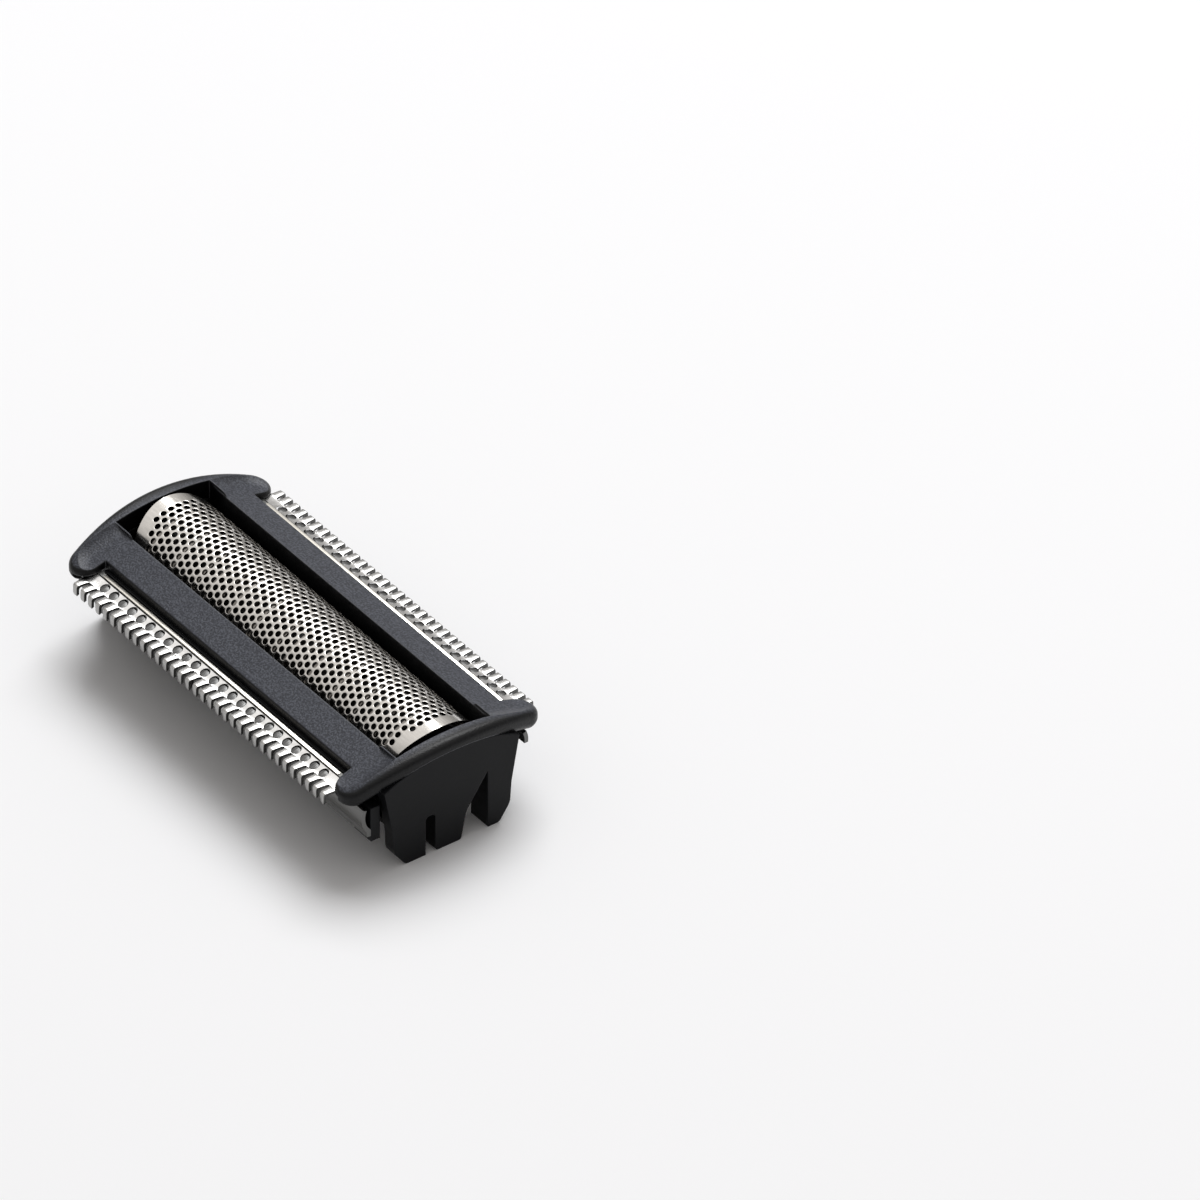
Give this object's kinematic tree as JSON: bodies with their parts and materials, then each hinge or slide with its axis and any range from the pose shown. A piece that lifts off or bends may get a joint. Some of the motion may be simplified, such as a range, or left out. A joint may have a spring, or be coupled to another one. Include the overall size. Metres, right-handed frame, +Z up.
{
  "type": "shaver foil head",
  "caption": "Foil head of a body shaver: black frame with raised wings, arched perforated foil, hooked trimmer comb on each side, sliding sprung cutters and snap legs.",
  "frame": {"origin": "on the ground, under the middle of the head, at the tips of the snap legs", "axes": "+X along the foil, +Y across it towards the rear comb, +Z up out of the foil"},
  "size_m": [0.046, 0.0232, 0.012],
  "materials": {
    "frame_plastic": "fine moulded grain",
    "chassis_plastic": "satin",
    "foil_steel": "satin",
    "comb_steel": "fine ground",
    "bracket_steel": "dull rolled",
    "blade_steel": "ground",
    "carrier_plastic": "satin",
    "bridge_plastic": "satin",
    "spring_steel": "drawn wire"
  },
  "bodies": {
    "head": {"top_frame": "frame_plastic", "chassis": "chassis_plastic", "foil": "foil_steel", "comb_front": "comb_steel", "comb_rear": "comb_steel", "comb_bracket_front": "bracket_steel", "comb_bracket_rear": "bracket_steel"},
    "drive": {"drive_bridge": "bridge_plastic", "trimmer_blade_front": "blade_steel", "trimmer_blade_rear": "blade_steel", "lift_spring_left": "spring_steel", "lift_spring_right": "spring_steel"},
    "cutter": {"cutter_carrier": "carrier_plastic", "cutter_blade_01": "blade_steel", "cutter_blade_02": "blade_steel", "cutter_blade_03": "blade_steel", "cutter_blade_04": "blade_steel", "cutter_blade_05": "blade_steel", "cutter_blade_06": "blade_steel", "cutter_blade_07": "blade_steel", "cutter_blade_08": "blade_steel", "cutter_blade_09": "blade_steel", "cutter_blade_10": "blade_steel", "cutter_blade_11": "blade_steel", "cutter_blade_12": "blade_steel", "cutter_blade_13": "blade_steel", "cutter_blade_14": "blade_steel", "cutter_blade_15": "blade_steel", "cutter_blade_16": "blade_steel", "cutter_blade_17": "blade_steel", "cutter_blade_18": "blade_steel", "cutter_blade_19": "blade_steel", "cutter_blade_20": "blade_steel", "cutter_blade_21": "blade_steel", "cutter_blade_22": "blade_steel"}
  },
  "joints": [
    {"name": "cutter_stroke", "type": "slide", "parent": "head", "child": "drive", "axis": [1, 0, 0], "range_m": [-0.001, 0.001]},
    {"name": "cutter_float", "type": "slide", "parent": "drive", "child": "cutter", "axis": [0, 0, 1], "range_m": [-0.0006, 0], "stiffness_N_per_m": 300, "springref_m": 0.0002, "deforming": ["lift_spring_left", "lift_spring_right"]}
  ]
}
